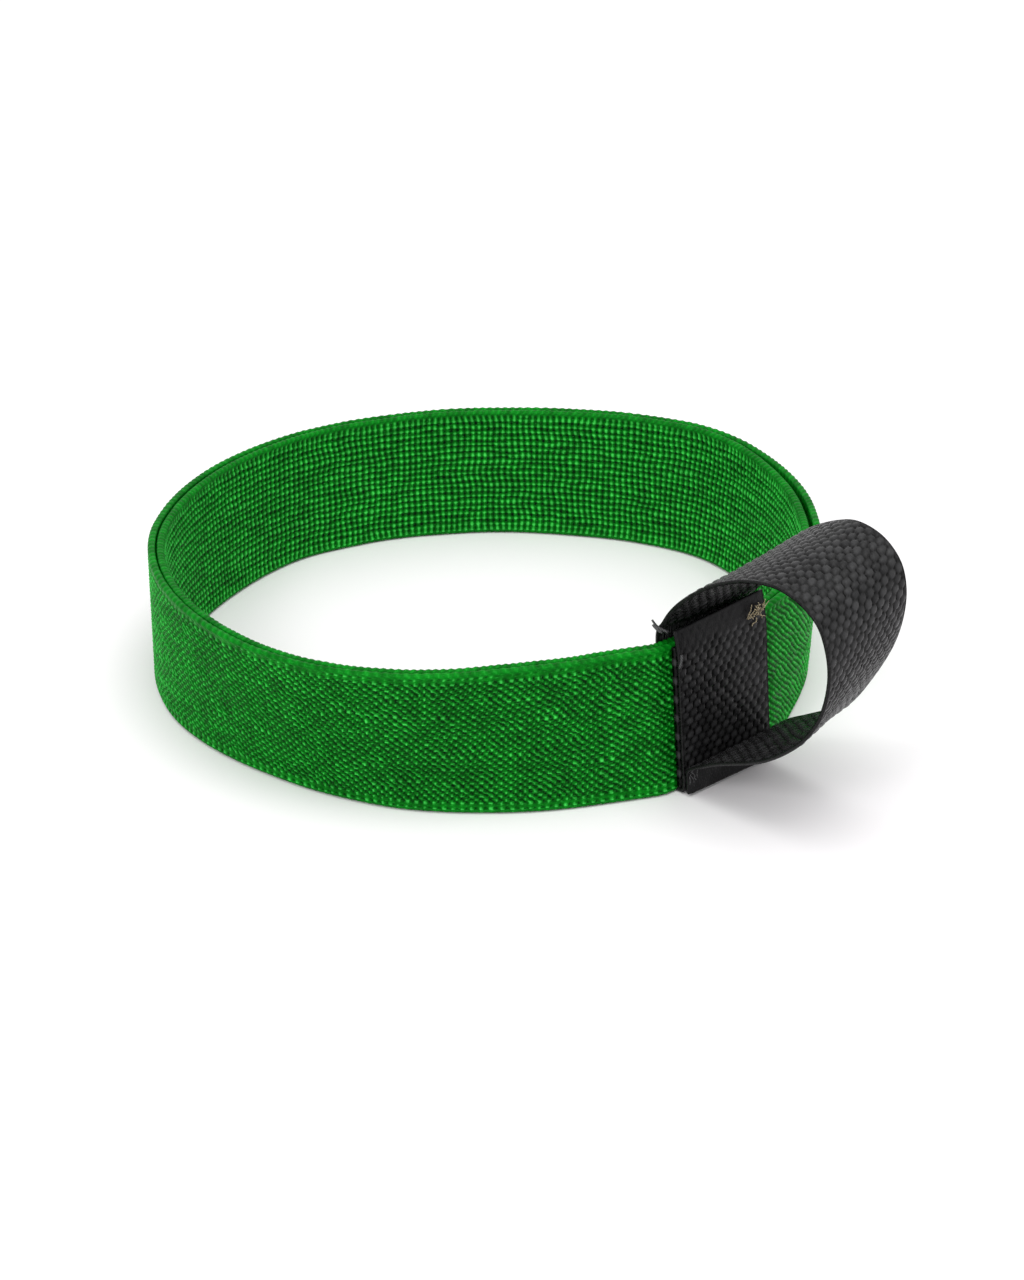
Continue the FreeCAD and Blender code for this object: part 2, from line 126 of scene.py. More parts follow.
def bell(value: Array, centre: float, width: float) -> Array:
    """A smooth hump of height 1 at an angle in degrees, with the given half width in degrees."""
    apart = (value - centre + 180.0) % 360.0 - 180.0
    return np.exp(-((apart / width) ** 2))


class Drift:
    """Smooth seeded noise over a cell grid that closes on itself along its first direction."""

    def __init__(self, seed: int, around: int, across: int) -> None:
        """Draws the grid of values.

        Args:
            seed: the random seed.
            around: grid steps along the direction that closes.
            across: grid steps along the other direction.
        """
        self.values = np.random.default_rng(seed).uniform(-1.0, 1.0, (around, across + 2))
        self.around = around
        self.across = across

    def at(self, along: Array, over: Array) -> Array:
        """Reads the noise.

        Args:
            along: places along the closed direction, from 0 to 1.
            over: places along the other direction, from 0 to 1.

        Returns:
            Values from -1 to 1.
        """
        x = (along % 1.0) * self.around
        y = np.clip(over, 0.0, 1.0) * self.across
        i, j = np.floor(x).astype(int), np.floor(y).astype(int)
        s, t = smooth_step(x - i), smooth_step(y - j)
        i, k = i % self.around, (i + 1) % self.around
        low = self.values[i, j] * (1 - s) + self.values[k, j] * s
        high = self.values[i, j + 1] * (1 - s) + self.values[k, j + 1] * s
        return low * (1 - t) + high * t


class WovenGrid:
    """A grid primitive whose points are placed by formula, as a weave needs."""

    def __init__(self, name: str, columns: int, rows: int) -> None:
        """Adds the flat grid.

        Args:
            name: the piece's name.
            columns: faces along the first direction.
            rows: faces along the second direction.
        """
        deselect()
        bpy.ops.mesh.primitive_grid_add(x_subdivisions=columns, y_subdivisions=rows, size=1.0)
        self.piece = bpy.context.object
        self.piece.name = name
        self.piece.data.name = name
        mesh = self.piece.data
        flat = np.empty(len(mesh.vertices) * 3, np.float32)
        mesh.vertices.foreach_get("co", flat)
        flat = flat.reshape(-1, 3)
        self.column = np.rint((flat[:, 0] + 0.5) * columns).astype(int)
        self.row = np.rint((flat[:, 1] + 0.5) * rows).astype(int)

    def place(self, points: Array) -> None:
        """Moves every point to its place, in metres."""
        self.piece.data.vertices.foreach_set("co", points.astype(np.float32).ravel())
        self.piece.data.update()

    def weave_uv(self, along: Array, across: Array) -> None:
        """Writes the weave's own map, counted in cells."""
        mesh = self.piece.data
        layer = mesh.uv_layers[0]
        layer.name = WEAVE_UV
        corner = np.empty(len(mesh.loops), np.int32)
        mesh.loops.foreach_get("vertex_index", corner)
        values = np.stack([along[corner], across[corner]], -1).astype(np.float32)
        layer.data.foreach_set("uv", values.ravel())

    def scalar(self, name: str, values: Array) -> None:
        """Stores one value for each point, for the material to read."""
        layer = self.piece.data.attributes.new(name, "FLOAT", "POINT")
        layer.data.foreach_set("value", values.astype(np.float32))


# Shader node groups
class NodeSheet:
    """A small builder for one node tree, so that a finish reads as a list of steps."""

    def __init__(self, tree: Tree) -> None:
        """Takes the tree that the nodes are added to."""
        self.tree = tree

    def add(self, kind: str, **settings: object) -> bpy.types.Node:
        """Adds a node and sets its properties."""
        made = self.tree.nodes.new(kind)
        for key, value in settings.items():
            setattr(made, key, value)
        return made

    def link(self, source: Socket, target: Socket) -> None:
        """Joins two sockets."""
        self.tree.links.new(source, target)

    def math(self, operation: str, first: object, second: object = None) -> Socket:
        """A math node.

        Args:
            operation: Blender's name for the operation.
            first: a number or a socket.
            second: a number or a socket, where the operation takes two.

        Returns:
            The node's output socket.
        """
        made = self.add("ShaderNodeMath", operation=operation)
        for socket, value in zip(made.inputs, (first, second)):
            if value is None:
                continue
            if isinstance(value, (int, float)):
                socket.default_value = value
            else:
                self.link(value, socket)
        return made.outputs[0]

    def spread(self, value: object, low: float, high: float, to_low: float, to_high: float) -> Socket:
        """Maps a range of values to another, held at its ends."""
        made = self.add("ShaderNodeMapRange")
        for name, number in zip(("From Min", "From Max", "To Min", "To Max"), (low, high, to_low, to_high)):
            made.inputs[name].default_value = number
        self.link(value, made.inputs["Value"])
        return made.outputs["Result"]

    def mix(self, factor: object, first: object, second: object, blend: str = "MIX") -> Socket:
        """Mixes two colours, each a tuple or a socket."""
        made = self.add("ShaderNodeMix", data_type="RGBA", blend_type=blend)
        for socket, value in ((made.inputs[0], factor), (made.inputs[6], first), (made.inputs[7], second)):
            if isinstance(value, (int, float)):
                socket.default_value = value
            elif isinstance(value, tuple):
                socket.default_value = (*value, 1.0)
            else:
                self.link(value, socket)
        return made.outputs[2]

    def toned(self, colour: object, level: object) -> Socket:
        """Multiplies a colour by a level that changes over the surface."""
        grey = self.add("ShaderNodeCombineColor")
        for socket in grey.inputs[:3]:
            self.link(level, socket)
        return self.mix(1.0, colour, grey.outputs[0], "MULTIPLY")

    def bump(self, height: object, strength: float, distance: float) -> Socket:
        """Turns a height into a normal."""
        made = self.add("ShaderNodeBump")
        made.inputs["Strength"].default_value = strength
        made.inputs["Distance"].default_value = distance
        self.link(height, made.inputs["Height"])
        return made.outputs["Normal"]

    def group(self, tree: Tree, **values: float) -> bpy.types.Node:
        """Places a node group with its own values."""
        made = self.add("ShaderNodeGroup", node_tree=tree)
        for name, value in values.items():
            made.inputs[name].default_value = value
        return made


def new_material(name: str) -> tuple[bpy.types.Material, NodeSheet, bpy.types.Node]:
    """Starts a material, and gives it with its node sheet and its shader."""
    material = bpy.data.materials.new(name)
    material.use_nodes = True
    return material, NodeSheet(material.node_tree), material.node_tree.nodes["Principled BSDF"]


def new_group(name: str, inputs: dict[str, str], outputs: dict[str, str]) -> tuple[Tree, dict, dict]:
    """Starts a shader node group.

    Args:
        name: the group's name.
        inputs: socket names and their types.
        outputs: socket names and their types.

    Returns:
        The tree, the sockets that its inputs give and the sockets that its outputs take.
    """
    tree = bpy.data.node_groups.new(name, "ShaderNodeTree")
    for label, kind in inputs.items():
        tree.interface.new_socket(label, in_out="INPUT", socket_type=kind)
    for label, kind in outputs.items():
        tree.interface.new_socket(label, in_out="OUTPUT", socket_type=kind)
    given = tree.nodes.new("NodeGroupInput").outputs
    wanted = tree.nodes.new("NodeGroupOutput").inputs
    return tree, {label: given[label] for label in inputs}, {label: wanted[label] for label in outputs}


def fibre_group() -> Tree:
    """Fine fibres that run along a yarn: a height and a mask of filaments, which the yarn finish paints paler
    in its crown colour as fibre texture with a painted sheen.

    Returns:
        The group, with inputs Place, Along and Across, and outputs Height and Filaments.
    """
    tree, given, wanted = new_group(
        "FineFibres",
        {"Place": "NodeSocketVector", "Along": "NodeSocketFloat", "Across": "NodeSocketFloat"},
        {"Height": "NodeSocketFloat", "Filaments": "NodeSocketFloat"},
    )
    sheet = NodeSheet(tree)
    stretch = sheet.add("ShaderNodeCombineXYZ")
    sheet.link(given["Along"], stretch.inputs["X"])
    sheet.link(given["Across"], stretch.inputs["Y"])
    stretch.inputs["Z"].default_value = 1.0
    scaled = sheet.add("ShaderNodeVectorMath", operation="MULTIPLY")
    sheet.link(given["Place"], scaled.inputs[0])
    sheet.link(stretch.outputs[0], scaled.inputs[1])
    noise = sheet.add("ShaderNodeTexNoise")
    for label, value in (("Scale", 1.0), ("Detail", 3.0), ("Roughness", 0.6)):
        noise.inputs[label].default_value = value
    sheet.link(scaled.outputs[0], noise.inputs["Vector"])
    sheet.link(noise.outputs["Fac"], wanted["Height"])
    sheet.link(sheet.spread(noise.outputs["Fac"], 0.55, 0.75, 0.0, 1.0), wanted["Filaments"])
    return tree


def drift_group() -> Tree:
    """Slow changes of tone over a piece, as dye takes and handling leave them.

    Returns:
        The group, with inputs Size and Strength, and an output Tone around 1.
    """
    tree, given, wanted = new_group(
        "ToneDrift",
        {"Size": "NodeSocketFloat", "Strength": "NodeSocketFloat"},
        {"Tone": "NodeSocketFloat"},
    )
    sheet = NodeSheet(tree)
    place = sheet.add("ShaderNodeTexCoord")
    noise = sheet.add("ShaderNodeTexNoise")
    noise.inputs["Detail"].default_value = 4.0
    sheet.link(place.outputs["Object"], noise.inputs["Vector"])
    sheet.link(given["Size"], noise.inputs["Scale"])
    centred = sheet.math("SUBTRACT", noise.outputs["Fac"], 0.5)
    sheet.link(sheet.math("ADD", sheet.math("MULTIPLY", centred, given["Strength"]), 1.0), wanted["Tone"])
    return tree


FIBRES = fibre_group()
DRIFT = drift_group()


@dataclass(frozen=True)
class YarnFinish:
    """A woven yarn's finish: body colour with a painted shade in the grooves and a painted highlight on the
    crowns, with fibres and a slow drift of tone.
    """

    name: str
    painted_groove_shade: Triple
    body: Triple
    crown: Triple
    smooth: Triple
    roughness: float
    specular: float
    fibre_along: float
    fibre_across: float
    fibre_depth: float
    tone_spread: float = 0.35
    highlight_start: float = 0.58
    groove_end: float = 0.05
    filament_sheen_share: float = 0.35
    fibre_strength: float = 0.6
    drift_size: float = 60.0

    def build(self) -> bpy.types.Material:
        """Makes the material.

        Returns:
            A material that reads the weave's map and its point values.
        """
        material, sheet, shader = new_material(self.name)
        values = (sheet.add("ShaderNodeAttribute", attribute_name=label) for label in (CROWN, TONE, PLAIN))
        crown, tone, plain = (value.outputs["Fac"] for value in values)
        place = sheet.add("ShaderNodeUVMap", uv_map=WEAVE_UV).outputs["UV"]
        fibres = sheet.group(FIBRES, Along=self.fibre_along, Across=self.fibre_across)
        sheet.link(place, fibres.inputs["Place"])
        drift = sheet.group(DRIFT, Size=self.drift_size, Strength=self.tone_spread)

        # Low points take the groove colour, a painted shade in the holes between yarns; the highest points
        # take the crown colour, a painted highlight on the yarn tops.
        rise = sheet.spread(crown, self.groove_end, self.highlight_start, 0.0, 1.0)
        top = sheet.spread(crown, self.highlight_start, 1.0, 0.0, 1.0)
        high = sheet.mix(top, sheet.mix(rise, self.painted_groove_shade, self.body), self.crown)
        # Filaments are painted paler in the crown colour: fibre texture that carries a painted sheen.
        pale = sheet.math("MULTIPLY", fibres.outputs["Filaments"], self.filament_sheen_share)
        zone = sheet.mix(plain, sheet.mix(pale, high, self.crown), self.smooth)
        level = sheet.math("MULTIPLY", drift.outputs["Tone"], tone)
        sheet.link(sheet.toned(zone, level), shader.inputs["Base Color"])

        rough = sheet.spread(fibres.outputs["Height"], 0.3, 0.7, self.roughness - 0.08, self.roughness + 0.12)
        sheet.link(rough, shader.inputs["Roughness"])
        normal = sheet.bump(fibres.outputs["Height"], self.fibre_strength, self.fibre_depth)
        sheet.link(normal, shader.inputs["Normal"])
        shader.inputs["Specular IOR Level"].default_value = self.specular
        return material


@dataclass(frozen=True)
class ThreadFinish:
    """A thread's finish: two tones twisted round each other along the thread."""

    name: str
    dark: Triple
    light: Triple
    roughness: float
    twist_scale: float = 900.0
    twist_distortion: float = 2.0
    twist_depth: float = 0.05 * MM
    twist_strength: float = 0.5
    drift_size: float = 300.0
    tone_spread: float = 0.5

    def build(self) -> bpy.types.Material:
        """Makes the material.

        Returns:
            A material that reads Object coordinates.
        """
        material, sheet, shader = new_material(self.name)
        place = sheet.add("ShaderNodeTexCoord").outputs["Object"]
        twist = sheet.add("ShaderNodeTexWave", wave_type="BANDS", bands_direction="DIAGONAL")
        twist.inputs["Scale"].default_value = self.twist_scale
        twist.inputs["Distortion"].default_value = self.twist_distortion
        sheet.link(place, twist.inputs["Vector"])
        drift = sheet.group(DRIFT, Size=self.drift_size, Strength=self.tone_spread)
        tones = sheet.mix(twist.outputs["Fac"], self.dark, self.light)
        sheet.link(sheet.toned(tones, drift.outputs["Tone"]), shader.inputs["Base Color"])
        normal = sheet.bump(twist.outputs["Fac"], self.twist_strength, self.twist_depth)
        sheet.link(normal, shader.inputs["Normal"])
        shader.inputs["Roughness"].default_value = self.roughness
        return material


# The groove colour is a painted shade in the holes between yarns, and the crown colour a painted highlight on
# the yarn tops.
GREEN_ELASTIC = YarnFinish(
    name="green_elastic",
    painted_groove_shade=(0.0, 0.008, 0.001),
    body=(0.0008, 0.16, 0.006),
    crown=(0.055, 0.60, 0.085),
    smooth=(0.002, 0.19, 0.010),
    roughness=0.34,
    specular=0.04,
    fibre_along=2.2,
    fibre_across=7.0,
    fibre_depth=0.12 * MM,
)
# The groove colour is a painted shade in the gaps between floats, and the crown colour a painted highlight on
# the floats.
BLACK_WEBBING = YarnFinish(
    name="black_webbing",
    painted_groove_shade=(0.0004, 0.0004, 0.0004),
    body=(0.012, 0.012, 0.0122),
    crown=(0.034, 0.034, 0.035),
    smooth=(0.008, 0.008, 0.0085),
    roughness=0.22,
    specular=0.11,
    fibre_along=2.5,
    fibre_across=9.0,
    fibre_depth=0.10 * MM,
    tone_spread=0.5,
    highlight_start=0.5,
)
RAW_RUBBER = ThreadFinish("raw_rubber", (0.45, 0.36, 0.22), (0.58, 0.48, 0.32), 0.6, 300.0)
BLACK_THREAD = ThreadFinish("black_thread", (0.006, 0.006, 0.007), (0.03, 0.03, 0.032), 0.45)
BLACK_YARN = ThreadFinish("black_yarn", (0.008, 0.008, 0.009), (0.07, 0.07, 0.073), 0.4)
PALE_YARN = ThreadFinish("pale_yarn", (0.22, 0.17, 0.09), (0.62, 0.53, 0.35), 0.5)


def dress(piece: Piece, material: bpy.types.Material) -> None:
    """Gives a piece one material."""
    piece.data.materials.clear()
    piece.data.materials.append(material)


# The ring's shape
@dataclass
class RingShape:
    """The soft line that the standing band follows, seen from above, and how far its top edge leans.

    Each row of the slack table is an angle in degrees from +X, the outer face's distance from the
    centre at mid-height and how much further out the top edge stands than the bottom edge, in
    millimetres. Each opening's place is an angle and a half width in degrees.
    """

    slack: tuple[Triple, ...] = (
        (0, 88.0, -3.4), (10, 87.6, -3.4), (14, 86.6, -2.8), (18, 85.7, -1.2), (24, 85.4, 1.2),
        (31, 85.5, 2.2), (48, 85.9, 1.8), (54, 86.3, 1.6), (61, 87.2, 1.6), (67, 87.8, 1.8),
        (75, 88.7, 2.0), (83, 90.0, 2.3), (89, 90.9, 2.4), (94, 91.2, 2.3), (98, 90.9, 2.4),
        (102, 89.8, 2.0), (111, 87.7, 1.3), (120, 85.1, 0.5), (129, 83.9, -0.4), (138, 83.2, -1.0),
        (148, 82.7, -0.7), (158, 83.0, -1.8), (168, 83.6, -1.6),
        (178, 84.9, -3.0), (190, 85.2, -2.8), (197, 85.5, -2.3), (205, 85.9, -2.2), (214, 86.3, -2.0),
        (223, 86.8, -1.6), (229, 87.2, -0.6), (240, 87.6, 0.2), (254, 88.1, 1.4), (262, 88.1, 3.0),
        (269, 88.1, 4.6), (280, 88.2, 6.6), (290, 88.7, 6.8), (296, 88.4, 6.0), (303, 88.1, 4.0),
        (311, 87.0, 2.3), (318, 85.6, 0.0), (326, 84.9, -2.0), (334, 84.7, -2.7), (338, 84.7, -3.2),
        (342, 84.9, -3.8), (346, 86.0, -3.8), (350, 87.6, -3.4),
    )
    sewn_inset: float = 0.5 * MM
    least_gap: float = 0.25 * MM
    near_gap: float = 0.5 * MM
    far_gap: float = 1.2 * MM
    open_end: float = 3.4 * MM
    near_end: tuple[float, float] = (205.0, 30.0)
    far_end: tuple[float, float] = (62.0, 24.0)
    corner_blend: float = 0.35 * MM
    samples: int = 2880
    spread: float = 3.5

    def __post_init__(self) -> None:
        """Reads the ring's sizes from the CAD nodes and eases the slack table."""
        far_low, far_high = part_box("outer_ply_far")
        join_low, join_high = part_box("outer_ply_join")
        self.height = far_high.z - far_low.z
        self.ply = join_high.x - join_low.x
        self.layer_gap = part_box("join_underlay")[0].x - join_high.x
        self.flat_face = join_high.x - self.sewn_inset
        angles, reach, lean = (np.array(column) for column in zip(*self.slack))
        self.degrees = np.linspace(0.0, 360.0, self.samples, endpoint=False)
        self.reach_table = self.eased(np.interp(self.degrees, angles, reach * MM, period=360.0))
        self.lean_table = self.eased(np.interp(self.degrees, angles, lean * MM, period=360.0))

    def eased(self, values: Array) -> Array:
        """Rounds off the corners of a table that closes on itself."""
        apart = (self.degrees + 180.0) % 360.0 - 180.0
        weights = np.exp(-((apart / self.spread) ** 2))
        return np.fft.irfft(np.fft.rfft(values) * np.fft.rfft(weights / weights.sum()), self.samples)

    def lean(self, degrees: Array, inner: bool) -> Array:
        """How much further out a layer's top edge stands than its foot."""
        lean = np.interp(degrees, self.degrees, self.lean_table, period=360.0)
        return lean + (self.open_end * bell(degrees, *self.near_end) if inner else 0.0)

    def sewn_face(self, height: Array) -> Array:
        """Where the outer face stands along X at the join, at a height above the floor."""
        return self.flat_face + self.lean_table[0] * (height / self.height - 0.5)

    def opening(self, degrees: Array) -> Array:
        """Space between the two layers at mid-height: they part at the ring's ends, at the foot most."""
        near = (self.open_end / 2 + self.near_gap) * bell(degrees, *self.near_end)
        return self.least_gap + near + self.far_gap * bell(degrees, *self.far_end)

    def line(self, inset: float, follow_gap: bool, count: int) -> tuple[Array, Array, Array, float]:
        """Points at equal steps round one layer's mid-height line.

        Args:
            inset: how far inside the outer face the line runs, in metres.
            follow_gap: whether the opening between the layers is added to the inset.
            count: how many points.

        Returns:
            The points, their outward normals, their angles in degrees and the line's length.
        """
        turn = np.radians(self.degrees)
        reach = self.reach_table - inset - (self.opening(self.degrees) if follow_gap else 0.0)
        x, y = reach * np.cos(turn), reach * np.sin(turn)
        flat = self.flat_face - inset - (self.layer_gap if follow_gap else 0.0)
        eased = flat - self.corner_blend * np.logaddexp(0.0, (flat - x) / self.corner_blend)
        points = np.stack([np.where(x > 0, eased, x), y], -1)
        closed = np.vstack([points, points[:1]])
        steps = np.hypot(*np.diff(closed, axis=0).T)
        travelled = np.concatenate([[0.0], np.cumsum(steps)])
        length = float(travelled[-1])
        wanted = np.linspace(0.0, length, count, endpoint=False)
        even = np.stack([np.interp(wanted, travelled, closed[:, k]) for k in (0, 1)], -1)
        way = np.roll(even, -1, 0) - np.roll(even, 1, 0)
        way /= np.hypot(way[:, 0], way[:, 1])[:, None]
        normals = np.stack([way[:, 1], -way[:, 0]], -1)
        angles = np.degrees(np.arctan2(even[:, 1], even[:, 0]))
        return even, normals, angles, length


class Weave(Enum):
    """How a layer's showing face is woven."""

    DIAGONAL = "diagonal"
    SQUARE = "square"


@dataclass
class ElasticPly:
    """One layer of woven elastic, closed under the strap into a ring.

    Each row of merged is how much less the floats are parted there, an angle and a half width in degrees.
    """

    name: str
    shape: RingShape
    weave: Weave
    inner: bool
    cell_length: float
    rows: int
    seed: int
    points_per_cell: int = 4
    points_per_row: int = 4
    relief: float = 0.76 * MM
    deepest: float = 0.7 * MM
    selvedge: float = 1.1 * MM
    rounding: float = 0.75
    sway: tuple[float, float] = (0.30, 0.17)
    parting: float = 0.62
    merged: tuple[Triple, ...] = ((0.45, 40.0, 45.0), (0.15, 250.0, 35.0))
    relief_change: float = 0.25
    bead_place: float = 0.4
    bead_share: float = 0.6
    bead_width: float = 0.3
    bead_low: float = 0.2
    braid: tuple[float, float] = (0.26, 0.42)
    edge_relief: float = 0.35
    edge_dip: float = 0.22 * MM
    ripple: float = 0.12 * MM
    tone_change: float = 0.3
    edge_plain: float = 0.35
    selvedge_points: int = 2
    edge_points: int = 3
    back_points: int = 3

    def cell_height(self, along: Array, across: Array, notch: Array) -> Array:
        """Height of the yarns over one another, from 0 in a hole to 1 on a crown.

        Args:
            along: cells round the ring.
            across: rows up the band.
            notch: how deep each slanting float is parted from the next, from 0 to 1.

        Returns:
            The height of each point.
        """
        column, row = wave(along), wave(across)
        if self.weave is Weave.DIAGONAL:
            parted = 1 - notch * (1 - wave(along - across))
            float_height = wave(along + across) ** 0.85 * parted * (0.75 + 0.25 * row)
            return np.clip(1.4 * float_height - 0.06, 0.0, 1.0)
        return np.clip(0.5 * column + 0.5 * row + 0.35 * column * row - 0.1, 0.0, 1.0)

    def profile(self) -> tuple[Array, Array, Array, Array]:
        """The band's section, from the foot of the showing face, over the top and down the back.

        Returns:
            Height, depth behind the showing face, row coordinate and weave strength of each point.
        """
        margin, tall = self.selvedge, self.shape.height
        half = self.shape.ply / 2
        rim = half * self.rounding
        low, high = rim, tall - rim
        bottom = np.linspace(low, margin, self.selvedge_points, endpoint=False)
        middle = np.linspace(margin, tall - margin, self.rows * self.points_per_row, endpoint=False)
        top = np.linspace(tall - margin, high, self.selvedge_points, endpoint=False)
        bend = np.linspace(0.0, HALF_TURN, self.edge_points * 2 + 1)
        crest, foot = high + rim * np.sin(bend), low - rim * np.sin(bend)
        back = np.linspace(high, low, self.back_points + 1)[1:-1]
        z = np.concatenate([bottom, middle, top, crest, back, foot])
        depth = np.concatenate([
            np.zeros(len(bottom) + len(middle) + len(top)),
            half * (1 - np.cos(bend)),
            np.full(len(back), 2 * half),
            half * (1 + np.cos(bend)),
        ])
        row = np.concatenate([
            np.linspace(-1.0, 0.0, len(bottom), endpoint=False),
            np.linspace(0.0, self.rows, len(middle), endpoint=False),
            self.rows + np.linspace(0.0, 1.0, len(top), endpoint=False),
            self.rows + 1.0 + np.linspace(0.0, 1.0, len(bend)),
            self.rows + 3.0 + np.linspace(0.0, self.rows, len(back)),
            -2.0 - np.linspace(1.0, 0.0, len(bend)),
        ])
        strength = ((row >= 0) & (row < self.rows)).astype(float)
        return z, depth, row, strength

    def build(self) -> Piece:
        """Weaves the layer.

        Returns:
            The finished piece.
        """
        shape = self.shape
        inset = shape.ply if self.inner else 0.0
        cells = int(round(shape.line(inset, self.inner, 8)[3] / self.cell_length))
        count = cells * self.points_per_cell
        line, normals, angles, _ = shape.line(inset, self.inner, count)
        section = self.profile()
        grid = WovenGrid(self.name, count, len(section[0]))
        i, j = grid.column % count, grid.row % len(section[0])
        z, depth, row, strength = (values[j] for values in section)

        share, up = (grid.column / count) % 1.0, np.clip(z / shape.height, 0.0, 1.0)
        slack = Drift(self.seed + 1, 150, 24)
        along = grid.column / self.points_per_cell + self.sway[0] * Drift(self.seed, 60, 8).at(share, up)
        across = row + self.sway[1] * slack.at(share, up) * strength
        notch = np.full(len(i), self.parting)
        for drop, place, width in self.merged:
            notch -= drop * bell(angles[i], place, width)
        bead, braid = wave(along), wave(along + 0.5 * row)
        edges = (row - self.rows + self.bead_place, row - self.bead_place)
        beaded = self.bead_share * sum(np.exp(-(apart**2) / self.bead_width) for apart in edges)
        raised = self.bead_low + (1 - self.bead_low) * bead
        woven = self.cell_height(along, across, notch) * (1 - beaded) + beaded * raised
        face = np.where(strength > 0, woven, self.braid[0] + self.braid[1] * braid)
        lively = 1.0 + self.relief_change * slack.at(share + 0.37, up)
        depth_share = self.edge_relief + (1 - self.edge_relief) * strength
        sink = np.minimum((1.0 - face) * self.relief * lively * depth_share, self.deepest)

        showing = -1.0 if self.inner else 1.0
        out = -inset - showing * (depth + sink * (depth < shape.ply * 0.98))
        out += shape.lean(angles, self.inner)[i] * (z / shape.height - 0.5)
        dip = self.edge_dip * (1 - braid) * (row > self.rows + 1.0) * (row < self.rows + 2.01)
        ripple = self.ripple * Drift(self.seed + 2, 40, 2).at(share, up) * (z > shape.height / 2)
        height = np.maximum(z - np.abs(dip) - np.abs(ripple), 0.0)
        grid.place(np.column_stack([line[i] + normals[i] * out[:, None], height]))
        grid.weave_uv(along, across)
        # The height also drives the painted groove shade and painted crown highlight in the yarn finish.
        grid.scalar(CROWN, face)
        grid.scalar(PLAIN, (1 - strength) * self.edge_plain)
        tone = Drift(self.seed + 3, cells, self.rows).at(share, up)
        grid.scalar(TONE, 1.0 + self.tone_change * tone)
        return clean(grid.piece)


@dataclass
class RubberStrands:
    """The covered rubber that lies inside one layer, a strand to each row."""

    name: str
    shape: RingShape
    inner: bool
    node: str
    drawn_in: float = 0.6
    pitch: float = 1.6 * MM
    steps: int = 180
    sides: int = 6

    def build(self) -> Piece:
        """Lays the strands round the ring.

        Returns:
            The finished piece, one closed tube for each strand.
        """
        shape = self.shape
        low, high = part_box(self.node)
        radius = (high.x - low.x) / 2 * self.drawn_in
        inset = shape.ply * (1.5 if self.inner else 0.5)
        line, normals, angles, _ = shape.line(inset, self.inner, self.steps)
        lean = shape.lean(angles, self.inner)
        count = int(round((high.z - low.z - 2 * radius) / self.pitch)) + 1
        strands = []
        for level in range(count):
            grid = WovenGrid(f"{self.name}_{level}", self.steps, self.sides)
            i = grid.column % self.steps
            turn = FULL_TURN * (grid.row % self.sides) / self.sides
            middle = low.z + radius + level * self.pitch
            out = radius * 0.95 * np.cos(turn) + lean[i] * (middle / shape.height - 0.5)
            across = line[i] + normals[i] * out[:, None]
            grid.place(np.column_stack([across, middle + radius * np.sin(turn)]))
            strands.append(clean(grid.piece))
        deselect()
        for strand in strands:
            strand.select_set(True)
        bpy.context.view_layer.objects.active = strands[0]
        bpy.ops.object.join()
        strands[0].name = self.name
        return strands[0]


@dataclass
class BandRing:
    """Both layers of elastic with the rubber inside them."""

    shape: RingShape
    arms: tuple[str, ...] = ("left", "right", "join", "far")

    def build(self) -> list[Piece]:
        """Makes the layers and their strands.

        Returns:
            The pieces.
        """
        green = GREEN_ELASTIC.build()
        rubber = RAW_RUBBER.build()
        plies = [
            ElasticPly("outer_ply", self.shape, Weave.DIAGONAL, False, 2.25 * MM, 20, 11),
            ElasticPly("inner_ply", self.shape, Weave.SQUARE, True, 1.77 * MM, 20, 23, 4, 3),
        ]
        pieces = []
        for ply in plies:
            piece = ply.build()
            dress(piece, green)
            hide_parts(*(f"{ply.name}_{arm}" for arm in self.arms))
            pieces.append(piece)
        for name, inner in (("outer_strands", False), ("inner_strands", True)):
            piece = RubberStrands(name, self.shape, inner, f"{name}_join").build()
            dress(piece, rubber)
            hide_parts(*(f"{name}_{arm}" for arm in self.arms))
            pieces.append(piece)
        for piece in pieces:
            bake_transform(piece)
        return pieces


# The webbing
Profile = tuple[tuple[float, float], ...]


def between(low: float, high: float, first: Array, last: Array, at: Array) -> Array:
    """Mixes two points or lines, which stand at low and high."""
    return (high - at) / (high - low) * first + (at - low) / (high - low) * last


def smooth_line(points: Array, step: float) -> Array:
    """A smooth line through points, a centripetal Catmull-Rom curve.

    Args:
        points: the points, in metres.
        step: about how far apart the samples are.

    Returns:
        The samples.
    """
    ends = np.vstack([2 * points[0] - points[1], points, 2 * points[-1] - points[-2]])
    pieces = []
    for stops in zip(ends, ends[1:], ends[2:], ends[3:]):
        gaps = [np.sqrt(np.linalg.norm(b - a)) for a, b in zip(stops, stops[1:])]
        t0, t1, t2, t3 = np.cumsum([0.0, *gaps])
        count = max(4, int(np.linalg.norm(stops[2] - stops[1]) / step))
        t = np.linspace(t1, t2, count, endpoint=False)[:, None]
        one = between(t0, t1, stops[0], stops[1], t)
        two = between(t1, t2, stops[1], stops[2], t)
        three = between(t2, t3, stops[2], stops[3], t)
        pieces.append(between(t1, t2, between(t0, t2, one, two, t), between(t1, t3, two, three, t), t))
    return np.vstack([*pieces, points[-1:]])


